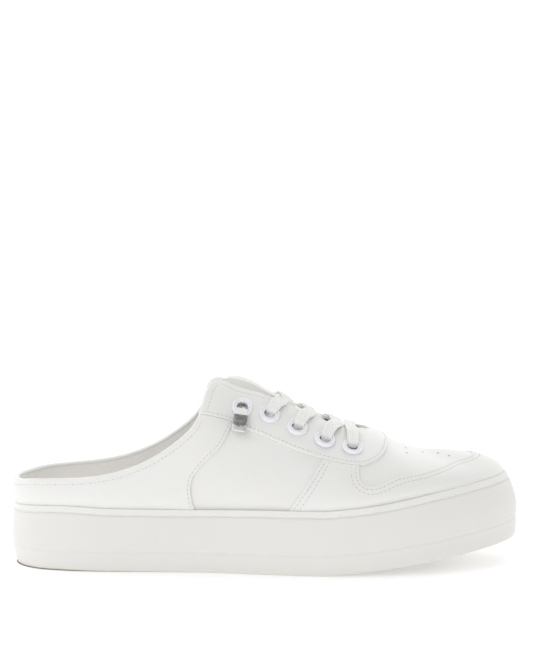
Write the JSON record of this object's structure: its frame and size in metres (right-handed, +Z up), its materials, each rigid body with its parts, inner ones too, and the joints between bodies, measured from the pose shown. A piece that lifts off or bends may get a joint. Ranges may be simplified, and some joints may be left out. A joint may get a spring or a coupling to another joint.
{
  "type": "sneaker",
  "caption": "White backless platform sneaker with a low heel, perforated vamp, elastic laces and a thick cupsole.",
  "frame": {"origin": "middle of the shoe's length and breadth, on the floor under the sole", "axes": "+X towards the toe, +Y towards the inner side of the foot, +Z up"},
  "size_m": [0.2779, 0.1025, 0.1022],
  "materials": {
    "sole_rubber": "matt",
    "white_leather": "soft gloss",
    "lining": "twill",
    "lace": "ribbed elastic",
    "eyelet_plastic": "gloss",
    "tip_metal": "brushed"
  },
  "bodies": {
    "root": {"sole": "sole_rubber", "upper": "white_leather", "insole": "lining", "tongue": "lining", "eyestay": "white_leather", "toe_overlay": "white_leather", "backstay": "white_leather", "quarter_overlay_lateral": "white_leather", "quarter_overlay_medial": "white_leather", "eyelet_lateral_1": "eyelet_plastic", "eyelet_lateral_2": "eyelet_plastic", "eyelet_lateral_3": "eyelet_plastic", "eyelet_lateral_4": "eyelet_plastic", "eyelet_lateral_5": "eyelet_plastic", "eyelet_medial_1": "eyelet_plastic", "eyelet_medial_2": "eyelet_plastic", "eyelet_medial_3": "eyelet_plastic", "eyelet_medial_4": "eyelet_plastic", "eyelet_medial_5": "eyelet_plastic", "lace_crossing_2": "lace", "lace_crossing_3": "lace", "lace_crossing_4": "lace", "lace_bar_front": "lace", "lace_end_lateral": "lace", "lace_end_medial": "lace", "lace_tip_lateral": "tip_metal", "lace_tip_medial": "tip_metal"}
  },
  "joints": []
}
